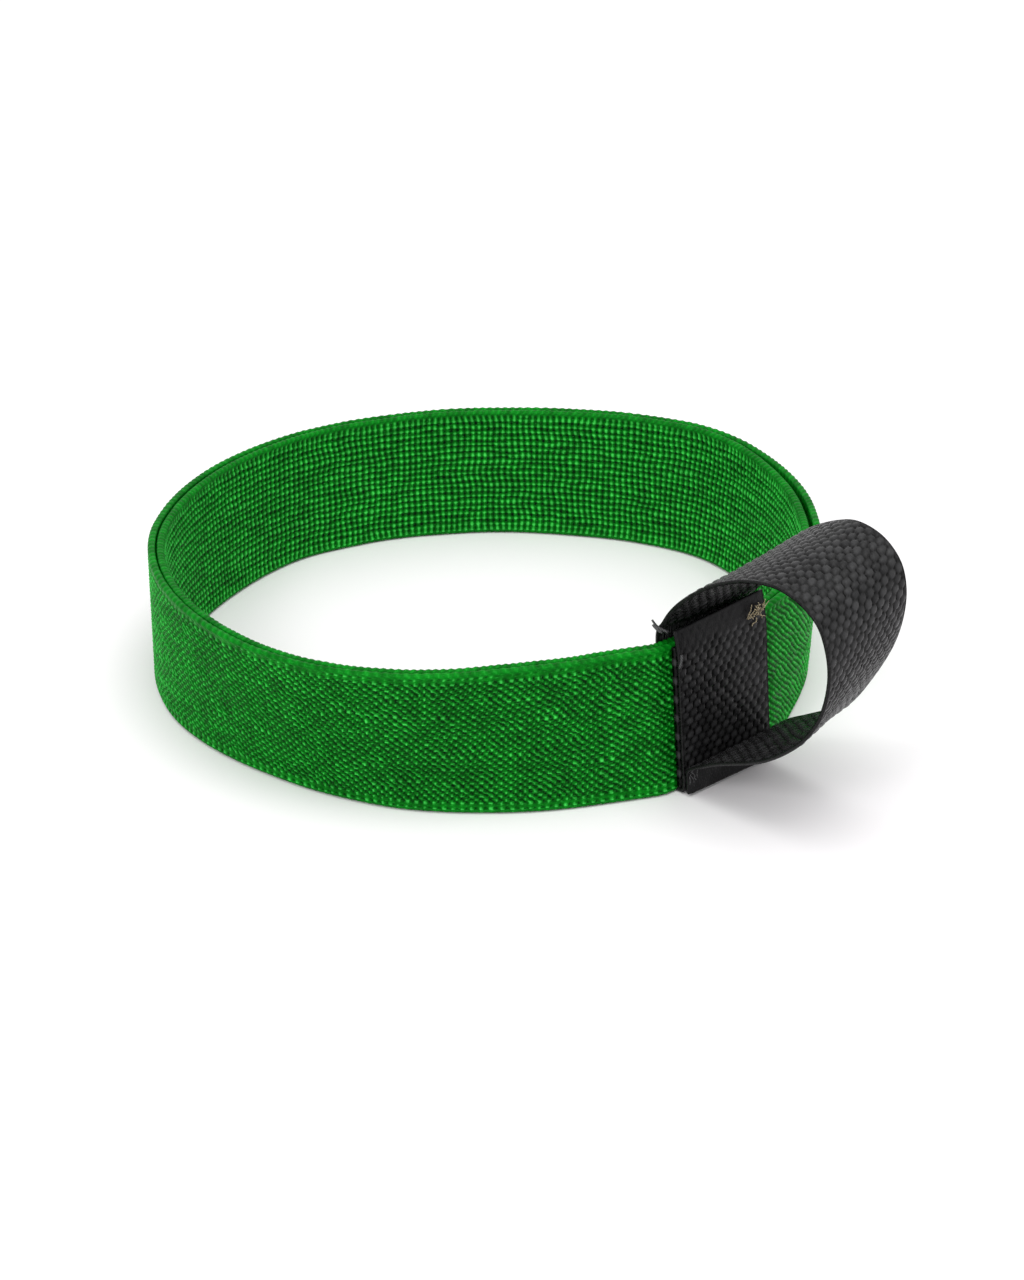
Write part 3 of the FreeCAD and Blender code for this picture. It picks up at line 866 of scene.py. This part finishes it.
@dataclass
class StrapPath:
    """The strap's lie: a sewn wrap round the join, then a loop whose two edges run a little apart."""

    ring: RingShape
    near_loop: Profile = (
        (78.4, 40.2), (80.0, 42.6), (81.9, 45.7), (84.9, 49.3), (90.4, 54.2), (95.5, 57.8),
        (100.2, 60.3), (105.6, 62.5), (111.8, 64.1), (117.5, 64.4), (124.3, 62.6), (129.1, 59.4),
        (131.8, 54.4), (133.0, 48.7), (132.6, 43.0), (131.2, 37.8), (128.9, 33.2), (125.8, 28.9),
        (121.4, 24.6), (116.2, 20.6), (110.9, 17.5), (104.5, 14.7), (98.6, 12.1), (94.6, 9.9), (91.8, 8.3),
    )
    far_loop: Profile = (
        (78.6, 40.2), (81.2, 42.5), (83.8, 46.2), (86.8, 51.3), (91.2, 57.5), (97.4, 63.6),
        (106.8, 69.1), (113.4, 71.1), (121.2, 69.8), (126.5, 65.6), (128.5, 60.0), (128.3, 52.9),
        (125.8, 44.2), (119.1, 31.9), (113.9, 24.6), (109.6, 20.8), (105.0, 18.2), (99.9, 15.2),
        (94.5, 12.0), (91.8, 9.6),
    )
    tail_top: float = 7.0 * MM
    patch_rise: float = 4.0 * MM
    far_rise: float = 1.7 * MM
    fold_reach: float = 1.4 * MM
    probe: float = 0.25 * MM
    step: float = 0.1 * MM

    def __post_init__(self) -> None:
        """Reads the webbing's thickness and places from the CAD nodes."""
        low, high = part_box("join_underlay")
        self.thickness, self.width = high.x - low.x, high.y - low.y
        self.tail_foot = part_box("strap_tail")[0].z
        self.patch_top = self.ring.height + self.patch_rise
        self.layer = self.thickness + self.ring.layer_gap
        self.near = self.trace(self.near_loop, 0.0)
        self.far = self.trace(self.far_loop, self.far_rise)
        self.length = (self.near[-1, 0] + self.far[-1, 0]) / 2

    def plane(self, height: float, layers: float) -> tuple[float, float]:
        """A point of the join's leaning planes.

        Args:
            height: height above the floor.
            layers: webbing layers outside the elastic, counted to the layer's middle.

        Returns:
            The point in the XZ plane.
        """
        return float(self.ring.sewn_face(height)) + layers * self.layer - self.thickness / 2, height

    def trace(self, loop: Profile, rise: float) -> Array:
        """One edge's line, from the patch's cut end to the tail's cut end.

        Args:
            loop: the points of the loop that the edge follows.
            rise: how much higher than the patch's own top this edge's cut end stands.

        Returns:
            An array of distance along the line, x and z.
        """
        ring = self.ring
        inside = -(2 * ring.ply + ring.layer_gap) / self.layer
        fold = self.thickness / 2
        top_x, foot_out, foot_in = (
            self.plane(height, layers)[0] for height, layers in ((self.patch_top, 2), (0.0, 2), (0.0, inside))
        )
        heights = np.linspace(0.93, 0.05, 12) * ring.height
        tail_heights = (self.tail_top - 0.6 * MM, self.tail_top / 2, self.tail_foot)
        points = [
            (top_x - 1.0 * MM - rise * 0.1, self.patch_top + rise),
            (top_x - 0.3 * MM, self.patch_top - 2.4 * MM + rise * 0.3),
            *(self.plane(height, 2) for height in heights),
            (foot_out - 0.6 * MM, fold + 0.15 * MM),
            (foot_out - self.fold_reach, fold),
            (foot_in + self.fold_reach, fold),
            (foot_in + 0.5 * MM, fold + 0.2 * MM),
            *(self.plane(height, inside) for height in heights[::-1]),
            *((x * MM, z * MM) for x, z in loop),
            *(self.plane(height, 3) for height in tail_heights),
        ]
        line = smooth_line(np.array(points), self.step)
        travelled = np.concatenate([[0.0], np.cumsum(np.hypot(*np.diff(line, axis=0).T))])
        return np.column_stack([travelled, line])

    def surface(self, travel: Array, across: Array, lift: Array) -> Array:
        """Points on or beside the strap.

        Args:
            travel: distance along the strap from the patch's cut end.
            across: distance from the strap's middle line, towards +Y.
            lift: height above the middle of its thickness, on the side that faces out of the join.

        Returns:
            The points, in metres.
        """
        share = travel / self.length
        over = 0.5 + across / self.width
        reach = self.probe / self.length

        def lay(at: Array, over: Array) -> Array:
            """A point on the middle of the strap's thickness."""
            (near_x, near_z), (far_x, far_z) = (
                [np.interp(at * edge[-1, 0], edge[:, 0], edge[:, k]) for k in (1, 2)]
                for edge in (self.near, self.far)
            )
            y = (over - 0.5) * self.width
            return np.stack([near_x + (far_x - near_x) * over, y, near_z + (far_z - near_z) * over], -1)

        along = lay(np.clip(share + reach, 0, 1), over) - lay(np.clip(share - reach, 0, 1), over)
        beside = lay(share, over + 0.02) - lay(share, over - 0.02)
        normal = np.cross(along, beside)
        normal /= np.linalg.norm(normal, axis=1)[:, None] + 1e-12
        return lay(share, over) - normal * lift[:, None]


@dataclass
class WebbingStrap:
    """The one length of webbing that wraps the join and stands out as the pull loop."""

    path: StrapPath
    columns: int = 11
    row_length: float = 1.85 * MM
    points_per_cell: int = 6
    points_per_row: int = 4
    edge_points: int = 3
    float_reach: tuple[float, float] = (0.49, 0.61)
    fullness: float = 2.2
    float_change: float = 0.12
    relief: float = 0.6 * MM
    rounding: float = 0.4
    cut_zone: float = 5.0 * MM
    cut_fade: float = 1.2 * MM
    ragged: float = 0.18
    tail_fade: float = 2.0 * MM
    swirl: tuple[float, float] = (0.72, 0.10)
    selvedge: float = 1.2 * MM
    sway: tuple[float, float] = (0.16, 0.12)
    plain_share: float = 0.85
    plain_tone: float = 0.8
    rim_share: float = 0.8
    rim_rib: tuple[float, float] = (0.45, 0.2)
    tone_change: float = 0.22
    seed: int = 41

    def pebble(self, along: Array, across: Array) -> tuple[Array, Array]:
        """The plump floats of the webbing, alternate rows set over by half a float.

        Args:
            along: rows along the strap.
            across: floats across the strap.

        Returns:
            Height from 0 to 1, and a number for each float.
        """
        base = np.floor(along)
        best = np.zeros_like(along)
        number = np.zeros_like(along)
        for step in (-1, 0, 1):
            row = base + step
            shifted = across + 0.5 * (row % 2)
            x = (shifted - np.floor(shifted) - 0.5) / self.float_reach[0]
            y = (along - row - 0.5) / self.float_reach[1]
            plump = np.sqrt(np.clip(1 - np.abs(x) ** self.fullness - np.abs(y) ** self.fullness, 0, 1))
            higher = plump > best
            best = np.where(higher, plump, best)
            number = np.where(higher, row * 31 + np.floor(shifted), number)
        return best, number

    def section(self) -> tuple[Array, Array, Array]:
        """The strap's section, once round.

        Returns:
            Distance across, side (1 out of the join, -1 towards it) and 1 on the two faces.
        """
        half_wide, half_thick = self.path.width / 2, self.path.thickness / 2
        rim = self.rounding * half_thick
        face = self.columns * self.points_per_cell
        bend = np.linspace(0, HALF_TURN, self.edge_points + 2)[1:-1]
        flat = np.linspace(-1.0, 1.0, face + 1) * (half_wide - rim)
        around = half_wide - rim + rim * np.sin(bend)
        across = np.concatenate([flat, around, flat[::-1], -around])
        side = np.concatenate([np.ones(face + 1), np.cos(bend), -np.ones(face + 1), -np.cos(bend)])
        return across, side, (np.abs(side) == 1).astype(float)

    def build(self) -> Piece:
        """Weaves the strap along its path.

        Returns:
            The finished piece.
        """
        path = self.path
        count = int(round(path.length / self.row_length)) * self.points_per_row
        section = self.section()
        grid = WovenGrid("pull_strap", count, len(section[0]))
        across, side, on_face = (values[grid.row % len(section[0])] for values in section)
        travel = path.length * grid.column / count
        share, over = travel / path.length, across / path.width + 0.5
        drift, wander = Drift(self.seed, 90, 6), Drift(self.seed + 2, 60, 5)
        cell_along = travel / self.row_length + self.sway[0] * drift.at(share, over) + 0.5 * (side < 0)
        cell_across = over * self.columns + self.sway[1] * wander.at(share, over)
        height, number = self.pebble(cell_along, cell_across)
        lot = np.random.default_rng(self.seed + 1).uniform(-1, 1, 8192)
        pick = lot[number.astype(int) % len(lot)]
        height = np.clip(height * on_face * (1.0 + self.float_change * pick), 0, 1)

        ragged = self.cut_zone * (1 + self.ragged * drift.at(over * 0.2, share))
        cut = 1 - smooth_step((travel - ragged) / self.cut_fade)
        tail = smooth_step((travel - (path.length - path.tail_top - self.tail_fade / 2)) / self.tail_fade)
        plain = np.clip(cut + tail, 0, 1)
        swirl = self.swirl[0] + self.swirl[1] * Drift(self.seed + 4, 700, 40).at(share, over)
        height = height * (1 - plain * self.plain_share) + swirl * plain * self.plain_share
        selvedge = 1 - smooth_step((path.width / 2 - np.abs(across)) / self.selvedge)
        rib = self.rim_rib[0] + self.rim_rib[1] * np.cos(FULL_TURN * cell_along * 2)
        height = height * (1 - self.rim_share * selvedge) + rib * self.rim_share * selvedge

        lift = side * (path.thickness / 2 - (1 - height) * self.relief * on_face)
        points = path.surface(travel, across, lift)
        points[:, 2] = np.maximum(points[:, 2], 0.0)
        grid.place(points)
        grid.weave_uv(cell_along, cell_across)
        # The height also drives the painted groove shade and painted crown highlight in the yarn finish.
        grid.scalar(CROWN, height)
        grid.scalar(PLAIN, plain * self.plain_tone)
        grid.scalar(TONE, 1.0 + self.tone_change * pick)
        return clean(grid.piece, cap_ends=True)


@dataclass
class Underlay:
    """The flat square of webbing under the patch."""

    path: StrapPath
    node: str = "join_underlay"
    columns: int = 12
    rows: int = 15
    points_per_cell: int = 4
    relief: float = 0.2 * MM
    tone: float = 0.9

    def build(self) -> Piece:
        """Weaves the square.

        Returns:
            The finished piece.
        """
        low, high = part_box(self.node)
        ring = self.path.ring
        steps, face = self.rows * self.points_per_cell, self.columns * self.points_per_cell + 1
        over = np.concatenate([np.linspace(0, 1, face), np.linspace(1, 0, face)])
        grid = WovenGrid("join_underlay_webbing", steps, len(over))
        i, j = grid.column, grid.row % len(over)
        along = i / self.points_per_cell
        cell = over[j] * self.columns + 0.5 * (np.floor(along) % 2)
        height = np.abs(np.sin(HALF_TURN * cell) * np.sin(HALF_TURN * along)) ** 0.5
        z = low.z + (high.z - low.z) * i / steps
        lift = np.where(j < face, self.path.thickness - (1 - height) * self.relief, 0.0)
        x = ring.sewn_face(z) + ring.layer_gap + lift
        grid.place(np.stack([x, low.y + (high.y - low.y) * over[j], z], -1))
        grid.weave_uv(along, cell)
        # The height also drives the painted groove shade and painted crown highlight in the yarn finish.
        for name, values in ((CROWN, height), (PLAIN, np.zeros(len(i))), (TONE, np.full(len(i), self.tone))):
            grid.scalar(name, values)
        return clean(grid.piece, cap_ends=True)


@dataclass
class ThreadLines:
    """Short lengths of thread or yarn, each a smooth round line, in one piece."""

    name: str
    lines: list[Array]
    thickness: float
    taper: float = 0.0
    resolution: int = 4
    roundness: int = 2

    def build(self) -> Piece:
        """Draws each line as a curve with a round section and makes them one mesh.

        Returns:
            The finished piece.
        """
        deselect()
        curve = bpy.data.curves.new(self.name, "CURVE")
        curve.dimensions = "3D"
        curve.bevel_depth = self.thickness / 2
        curve.bevel_resolution = self.roundness
        curve.use_fill_caps = True
        curve.resolution_u = self.resolution
        for line in self.lines:
            spline = curve.splines.new("NURBS")
            spline.points.add(len(line) - 1)
            for index, (point, place) in enumerate(zip(spline.points, line)):
                point.co = (*place, 1.0)
                point.radius = 1.0 - self.taper * index / len(line)
            spline.order_u = 3
            spline.use_endpoint_u = True
        piece = bpy.data.objects.new(self.name, curve)
        bpy.context.scene.collection.objects.link(piece)
        make_active(piece)
        bpy.ops.object.convert(target="MESH")
        return clean(bpy.context.object)


@dataclass
class Sewing:
    """The bar tacks and side seams, laid on the webbing's own surface."""

    path: StrapPath
    thread: float = 0.44 * MM
    tack_pitch: float = 0.8 * MM
    seam_pitch: float = 2.9 * MM
    stitch: float = 2.1 * MM
    edge_margin: float = 1.4 * MM
    seam_margin: float = 2.0 * MM
    wobble: float = 0.25
    sink: float = 0.12 * MM

    def inside_travel(self, height: float) -> float:
        """How far along the strap the inside layer stands at a height."""
        fold = self.path.patch_top + 2 * self.path.ring.ply + 4 * self.path.layer
        return fold + height

    def stitch_line(self, start: tuple[float, float], end: tuple[float, float]) -> Array:
        """One stitch on the outward face that dips into the webbing at both ends.

        Args:
            start: travel and distance across of one end.
            end: the same of the other end.

        Returns:
            The stitch's points.
        """
        share = np.array([0.0, 0.12, 0.5, 0.88, 1.0])
        travel, across = (first + (last - first) * share for first, last in zip(start, end))
        top = self.path.thickness / 2 - self.sink
        return self.path.surface(travel, across, top - self.thread * np.array([1.0, 0.15, 0.0, 0.15, 1.0]))

    def tack(self, low: float, high: float) -> list[Array]:
        """A row of close stitches from edge to edge, between two travels."""
        half = self.path.width / 2 - self.edge_margin
        count = int(2 * half / self.tack_pitch)
        step = 2 * half / count
        rng = np.random.default_rng(int(low * 1e6) % 997)
        lines = []
        for index in range(count):
            y = -half + index * step
            wobble = rng.uniform(-self.wobble, self.wobble, 4) * MM
            start = (low + wobble[0], y + wobble[1])
            end = (high + wobble[2], y + step * 0.4 + wobble[3])
            lines.append(self.stitch_line(start, end))
        return lines

    def seam(self, low: float, high: float, side: float) -> list[Array]:
        """A line of running stitches along one edge, between two travels."""
        y = side * (self.path.width / 2 - self.seam_margin)
        count = int((high - low - self.stitch) / self.seam_pitch) + 1
        starts = (low + index * self.seam_pitch for index in range(count))
        return [self.stitch_line((start, y), (start + self.stitch, y)) for start in starts]

    def build(self) -> list[Piece]:
        """Sews the join.

        Returns:
            One piece for each tack and seam.
        """
        path = self.path
        down = path.patch_top
        tack, foot, seam = (
            [corner.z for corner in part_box(node)]
            for node in ("upper_bar_tack", "lower_bar_tack", "side_seam_left")
        )
        lines = {
            "upper_bar_tack": self.tack(down - tack[1], down - tack[0]),
            "upper_bar_tack_inside": self.tack(*map(self.inside_travel, tack)),
            "lower_bar_tack": self.tack(path.length - foot[1], path.length - foot[0]),
            "lower_bar_tack_inside": self.tack(*map(self.inside_travel, foot)),
        }
        for name, side in (("side_seam_left", -1.0), ("side_seam_right", 1.0)):
            lines[name] = self.seam(down - seam[1], down - seam[0], side)
            lines[f"{name}_inside"] = self.seam(*map(self.inside_travel, seam), side)
        finish = BLACK_THREAD.build()
        pieces = []
        for name, stitches in lines.items():
            piece = ThreadLines(f"{name}_thread", stitches, self.thread, resolution=2, roundness=1).build()
            dress(piece, finish)
            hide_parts(name)
            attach(piece, "joined_half")
            pieces.append(piece)
        return pieces


@dataclass
class YarnEnds:
    """The cut yarn ends at the corners of the join."""

    path: StrapPath
    seed: int = 5

    def fray(self, root: Array, spread: Triple, low: Triple, high: Triple, count: int) -> list[Array]:
        """Thin curly ends from about one place, in millimetres but for the root.

        Args:
            root: the middle of the roots.
            spread: how far the roots scatter.
            low: the lowest way from a root to its tip.
            high: the highest.
            count: how many ends.

        Returns:
            A line for each end.
        """
        rng = np.random.default_rng(self.seed + count)
        spread, low, high = (np.array(values) * MM for values in (spread, low, high))
        lines = []
        for _ in range(count):
            start = root + spread * rng.uniform(-1, 1, 3)
            way = rng.uniform(low, high)
            curl = rng.uniform(-0.6, 0.6, 3) * MM
            tip = start + way
            lines.append(np.array([start, start + way * 0.35 + curl, start + way * 0.7 - curl * 0.4, tip]))
        return lines

    def build(self) -> list[Piece]:
        """Makes the three tufts.

        Returns:
            The pieces.
        """
        path = self.path
        edge = path.width / 2
        stub = np.array([(81.2, -14.2, 40.6), (79.9, -15.0, 41.2), (78.9, -16.0, 42.0), (78.3, -16.7, 43.6)])
        loose = np.array([(79.8, -14.6, 40.2), (78.4, -15.2, 40.4), (77.2, -15.4, 41.6)])
        side = path.plane(35 * MM, 2.5)[0]
        caught = np.array([
            (side - 0.2 * MM, -edge + 0.6 * MM, 36.4 * MM),
            (side + 0.35 * MM, -edge + 0.4 * MM, 35.2 * MM),
            (side - 0.1 * MM, -edge - 0.1 * MM, 33.2 * MM),
        ])
        upper = [stub * MM, loose * MM, caught]
        face = path.plane(path.patch_top, 2.5)[0]
        corner = np.array([face + 0.1 * MM, edge - 3.6 * MM, path.patch_top - 2.6 * MM])
        far = self.fray(corner, (0.3, 3.0, 1.6), (0.1, -2.2, -1.8), (0.9, 2.2, 2.4), 26)
        crease = np.array([path.plane(7 * MM, 3.5)[0] - 0.2 * MM, -edge + 1.2 * MM, 6.4 * MM])
        lower = self.fray(crease, (0.5, 1.4, 1.4), (0.0, -1.4, -3.2), (0.8, 2.4, 1.2), 11)
        black, pale = BLACK_YARN.build(), PALE_YARN.build()
        pieces = []
        for name, lines, thickness, finish, slot in (
            ("yarn_tuft_upper", upper, 0.75 * MM, black, "black_yarn"),
            ("yarn_tuft_far", far, 0.28 * MM, pale, "pale_yarn"),
            ("yarn_tuft_lower", lower, 0.24 * MM, black, "black_yarn"),
        ):
            piece = ThreadLines(name, lines, thickness, taper=0.35).build()
            dress(piece, finish)
            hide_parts(name.replace("tuft", "ends"))
            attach(piece, "joined_half")
            pieces.append(piece)
        return pieces


@dataclass
class PullLoop:
    """The strap, its underlay, the sewing and the loose yarn ends."""

    path: StrapPath
    blend_length: float = 30.0 * MM

    def build(self) -> list[Piece]:
        """Makes the webbing pieces, the sewing and the yarn ends.

        Returns:
            The pieces.
        """
        webbing = BLACK_WEBBING.build()
        strap = WebbingStrap(self.path).build()
        dress(strap, webbing)
        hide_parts("strap_wrap", "strap_tail", "strap_loop")
        start = self.path.plane(0.0, 3.5)[0] + 0.5 * MM
        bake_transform(strap)
        underlay = Underlay(self.path).build()
        dress(underlay, webbing)
        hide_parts("join_underlay")
        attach(underlay, "joined_half")
        return [strap, underlay, *Sewing(self.path).build(), *YarnEnds(self.path).build()]


# Studio
@dataclass
class Studio:
    """A pale floor, soft light and the camera; each lamp has a name, a place, a side and a power."""

    eye: Triple = (0.5278, -0.4662, 0.3490)
    target: Triple = (-0.0022, 0.0110, 0.0)
    lens: float = 83.5
    sensor: float = 36.0
    nearest: float = 0.01
    floor_side: float = 12.0
    floor_drop: float = 0.2 * MM
    floor_colour: Triple = (0.925, 0.905, 0.92)
    floor_roughness: float = 0.9
    floor_specular: float = 0.1
    sky: float = 0.95
    lamps: tuple[tuple[str, Triple, float, float], ...] = (
        ("overhead", (0.3, -0.05, 1.3), 0.9, 6.5),
        ("key", (0.35, -1.1, 0.8), 0.35, 4.5),
    )

    def floor(self) -> None:
        """Lays the floor."""
        deselect()
        bpy.ops.mesh.primitive_plane_add(size=self.floor_side, location=(0, 0, -self.floor_drop))
        plane = bpy.context.object
        plane.name = "floor"
        material, _, shader = new_material("pale_floor")
        shader.inputs["Base Color"].default_value = (*self.floor_colour, 1.0)
        shader.inputs["Roughness"].default_value = self.floor_roughness
        shader.inputs["Specular IOR Level"].default_value = self.floor_specular
        plane.data.materials.append(material)

    def lamp(self, name: str, place: Triple, side: float, power: float) -> None:
        """Hangs one square soft light that faces the ring.

        Args:
            name: the light's name.
            place: where it hangs, in metres.
            side: its width and height.
            power: its power in watts.
        """
        light = bpy.data.lights.new(name, "AREA")
        light.shape = "SQUARE"
        light.size = side
        light.energy = power
        lamp = bpy.data.objects.new(name, light)
        bpy.context.scene.collection.objects.link(lamp)
        lamp.location = place
        lamp.rotation_euler = (-Vector(place)).to_track_quat("-Z", "Y").to_euler()

    def light(self) -> None:
        """Sets the sky and the soft lights."""
        world = bpy.data.worlds.new("studio")
        world.use_nodes = True
        world.node_tree.nodes["Background"].inputs["Color"].default_value = (1.0, 1.0, 1.0, 1.0)
        world.node_tree.nodes["Background"].inputs["Strength"].default_value = self.sky
        bpy.context.scene.world = world
        for lamp in self.lamps:
            self.lamp(*lamp)

    def camera(self) -> None:
        """Places the camera."""
        lens = bpy.data.cameras.new("camera")
        lens.lens = self.lens
        lens.sensor_width = self.sensor
        lens.clip_start = self.nearest
        camera = bpy.data.objects.new("camera", lens)
        bpy.context.scene.collection.objects.link(camera)
        camera.location = self.eye
        camera.rotation_euler = (Vector(self.target) - Vector(self.eye)).to_track_quat("-Z", "Y").to_euler()
        bpy.context.scene.camera = camera

    def build(self) -> None:
        """Sets up the whole studio."""
        bpy.context.scene.view_settings.view_transform = "Standard"
        self.floor()
        self.light()
        self.camera()


def main() -> None:
    """Builds the ring, the strap and the studio in order, and reports each piece."""
    logging.basicConfig(level=logging.INFO, format="%(message)s")
    ring = RingShape()
    pieces = BandRing(ring).build() + PullLoop(StrapPath(ring)).build()
    for piece in pieces:
        log.info("%s: %d faces", piece.name, len(piece.data.polygons))
    Studio().build()


if __name__ == "__main__":
    main()
